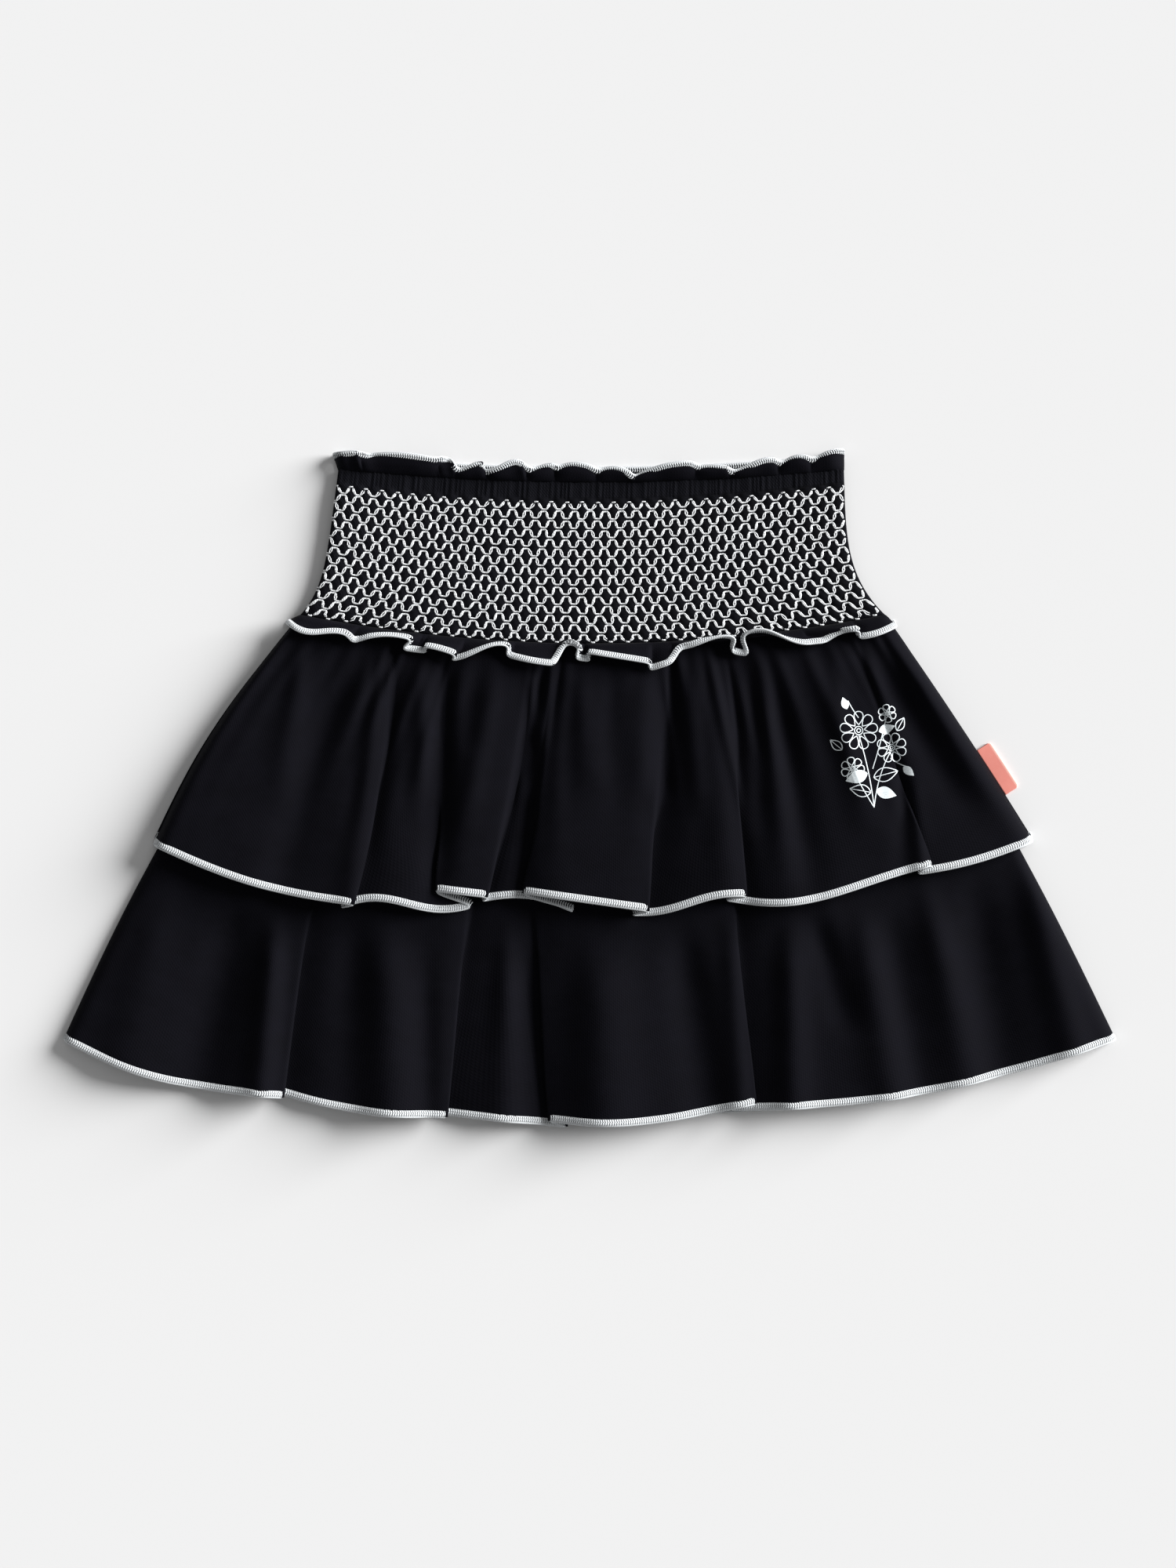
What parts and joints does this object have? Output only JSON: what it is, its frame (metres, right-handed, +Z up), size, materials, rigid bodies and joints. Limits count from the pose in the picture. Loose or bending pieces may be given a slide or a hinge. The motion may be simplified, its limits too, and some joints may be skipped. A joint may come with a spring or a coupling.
{
  "type": "tiered skirt",
  "caption": "Child's black jersey skirt laid flat: white honeycomb-smocked waist, frilled edges and gathered tiers with white overlocked hems.",
  "frame": {"origin": "on the surface the skirt lies on, below the centre of its bounding box", "axes": "+X across the skirt to the viewer's right, +Y from the hem up to the waist, +Z up from the surface to the skirt's front"},
  "size_m": [0.4955, 0.3192, 0.0155],
  "materials": {
    "black_jersey": "matte knitted jersey",
    "smocked_jersey": "matte black jersey puffed between the smocking stitches",
    "white_thread": "soft white overlock and smocking thread",
    "white_print": "thin matte screen print",
    "coral_ribbon": "smooth woven ribbon"
  },
  "bodies": {
    "root": {"tier_1_front": "black_jersey", "tier_1_back": "black_jersey", "tier_2_front": "black_jersey", "tier_2_back": "black_jersey", "smocked_band_front": "smocked_jersey", "smocked_band_back": "smocked_jersey", "heading_frill_front": "black_jersey", "heading_frill_back": "black_jersey", "lower_frill_front": "black_jersey", "lower_frill_back": "black_jersey", "side_label": "coral_ribbon"}
  },
  "joints": []
}
